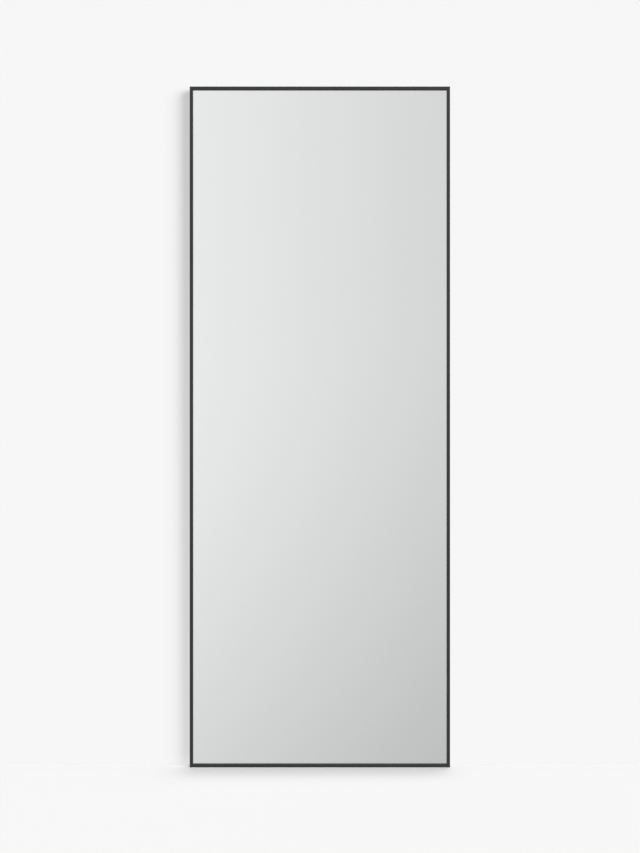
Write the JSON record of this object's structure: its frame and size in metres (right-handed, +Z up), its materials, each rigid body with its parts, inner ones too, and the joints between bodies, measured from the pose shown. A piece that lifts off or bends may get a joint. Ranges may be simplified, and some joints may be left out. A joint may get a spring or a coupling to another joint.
{
  "type": "floor mirror",
  "caption": "Full-length mirror in a slim black frame that stands on the floor against a wall or hangs from two rings.",
  "frame": {"origin": "centre of the bounding box's underside: midway across the width and the depth, at the bottom edge of the frame", "axes": "+Z up along the height, +X across the width, the mirror faces -Y"},
  "size_m": [0.65, 0.03, 1.7],
  "materials": {
    "black_frame": "fine matte black powder coat",
    "mirror_glass": "silvered float glass, polished",
    "backing_film": "woven adhesive safety film, satin",
    "fibreboard": "hardboard, matte",
    "black_rubber": "matte black rubber",
    "spring_steel": "blued spring steel",
    "zinc_steel": "bright zinc plate",
    "dark_screw": "black oxide"
  },
  "bodies": {
    "mirror": {"left_stile": "black_frame", "top_rail": "black_frame", "right_stile": "black_frame", "bottom_rail": "black_frame", "bottom_left_corner_shim": "zinc_steel", "bottom_left_corner_key": "zinc_steel", "bottom_left_stile_screw": "dark_screw", "bottom_left_rail_screw": "dark_screw", "top_left_corner_shim": "zinc_steel", "top_left_corner_key": "zinc_steel", "top_left_stile_screw": "dark_screw", "top_left_rail_screw": "dark_screw", "top_right_corner_shim": "zinc_steel", "top_right_corner_key": "zinc_steel", "top_right_stile_screw": "dark_screw", "top_right_rail_screw": "dark_screw", "bottom_right_corner_shim": "zinc_steel", "bottom_right_corner_key": "zinc_steel", "bottom_right_stile_screw": "dark_screw", "bottom_right_rail_screw": "dark_screw", "silvered_glass": "mirror_glass", "safety_film": "backing_film", "backing_board": "fibreboard", "left_setting_block": "black_rubber", "right_setting_block": "black_rubber", "left_stile_clip_1": "spring_steel", "left_stile_clip_2": "spring_steel", "left_stile_clip_3": "spring_steel", "left_stile_clip_4": "spring_steel", "top_rail_clip_1": "spring_steel", "top_rail_clip_2": "spring_steel", "right_stile_clip_1": "spring_steel", "right_stile_clip_2": "spring_steel", "right_stile_clip_3": "spring_steel", "right_stile_clip_4": "spring_steel", "bottom_rail_clip_1": "spring_steel", "bottom_rail_clip_2": "spring_steel", "left_nut_bar": "zinc_steel", "left_hanger_strap": "zinc_steel", "left_hanger_bolt_1": "dark_screw", "left_hanger_bolt_2": "dark_screw", "right_nut_bar": "zinc_steel", "right_hanger_strap": "zinc_steel", "right_hanger_bolt_1": "dark_screw", "right_hanger_bolt_2": "dark_screw", "bottom_left_wall_pad": "black_rubber", "top_left_wall_pad": "black_rubber", "top_right_wall_pad": "black_rubber", "bottom_right_wall_pad": "black_rubber"},
    "left_ring": {"left_hanging_ring": "zinc_steel"},
    "right_ring": {"right_hanging_ring": "zinc_steel"}
  },
  "joints": [
    {"name": "left_ring_hinge", "type": "hinge", "parent": "mirror", "child": "left_ring", "pos_m": [-0.3155, 0.0107, 1.37], "axis": [1, 0, 0], "range_deg": [0, 185]},
    {"name": "right_ring_hinge", "type": "hinge", "parent": "mirror", "child": "right_ring", "pos_m": [0.3155, 0.0107, 1.37], "axis": [1, 0, 0], "range_deg": [0, 185]}
  ]
}
